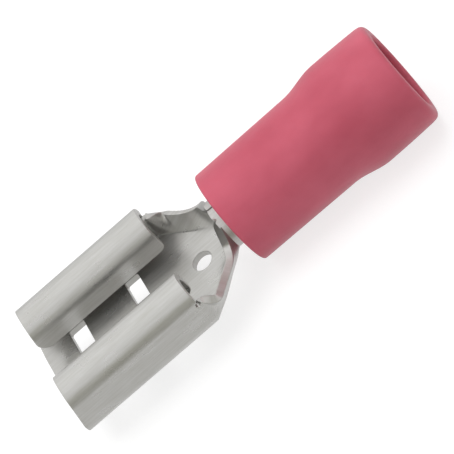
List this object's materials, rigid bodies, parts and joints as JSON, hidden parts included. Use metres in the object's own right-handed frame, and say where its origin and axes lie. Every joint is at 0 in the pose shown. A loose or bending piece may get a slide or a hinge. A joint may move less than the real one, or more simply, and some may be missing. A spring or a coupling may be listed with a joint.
{
  "type": "female spade terminal",
  "caption": "Female spade crimp terminal: a tin-plated brass tab socket with rolled edges and a wire barrel, in a red vinyl sleeve.",
  "frame": {"origin": "centre of the wire barrel's mouth, on the barrel's axis", "axes": "+Y along the barrel's axis towards the wire, +Z out of the open side of the tab socket, X across the socket"},
  "size_m": [0.0072, 0.0218, 0.0056],
  "materials": {
    "tin_plate": "satin tin plate on brass",
    "red_vinyl": "semi-matte moulded vinyl"
  },
  "bodies": {
    "root": {"terminal": "tin_plate", "sleeve": "red_vinyl"}
  },
  "joints": []
}
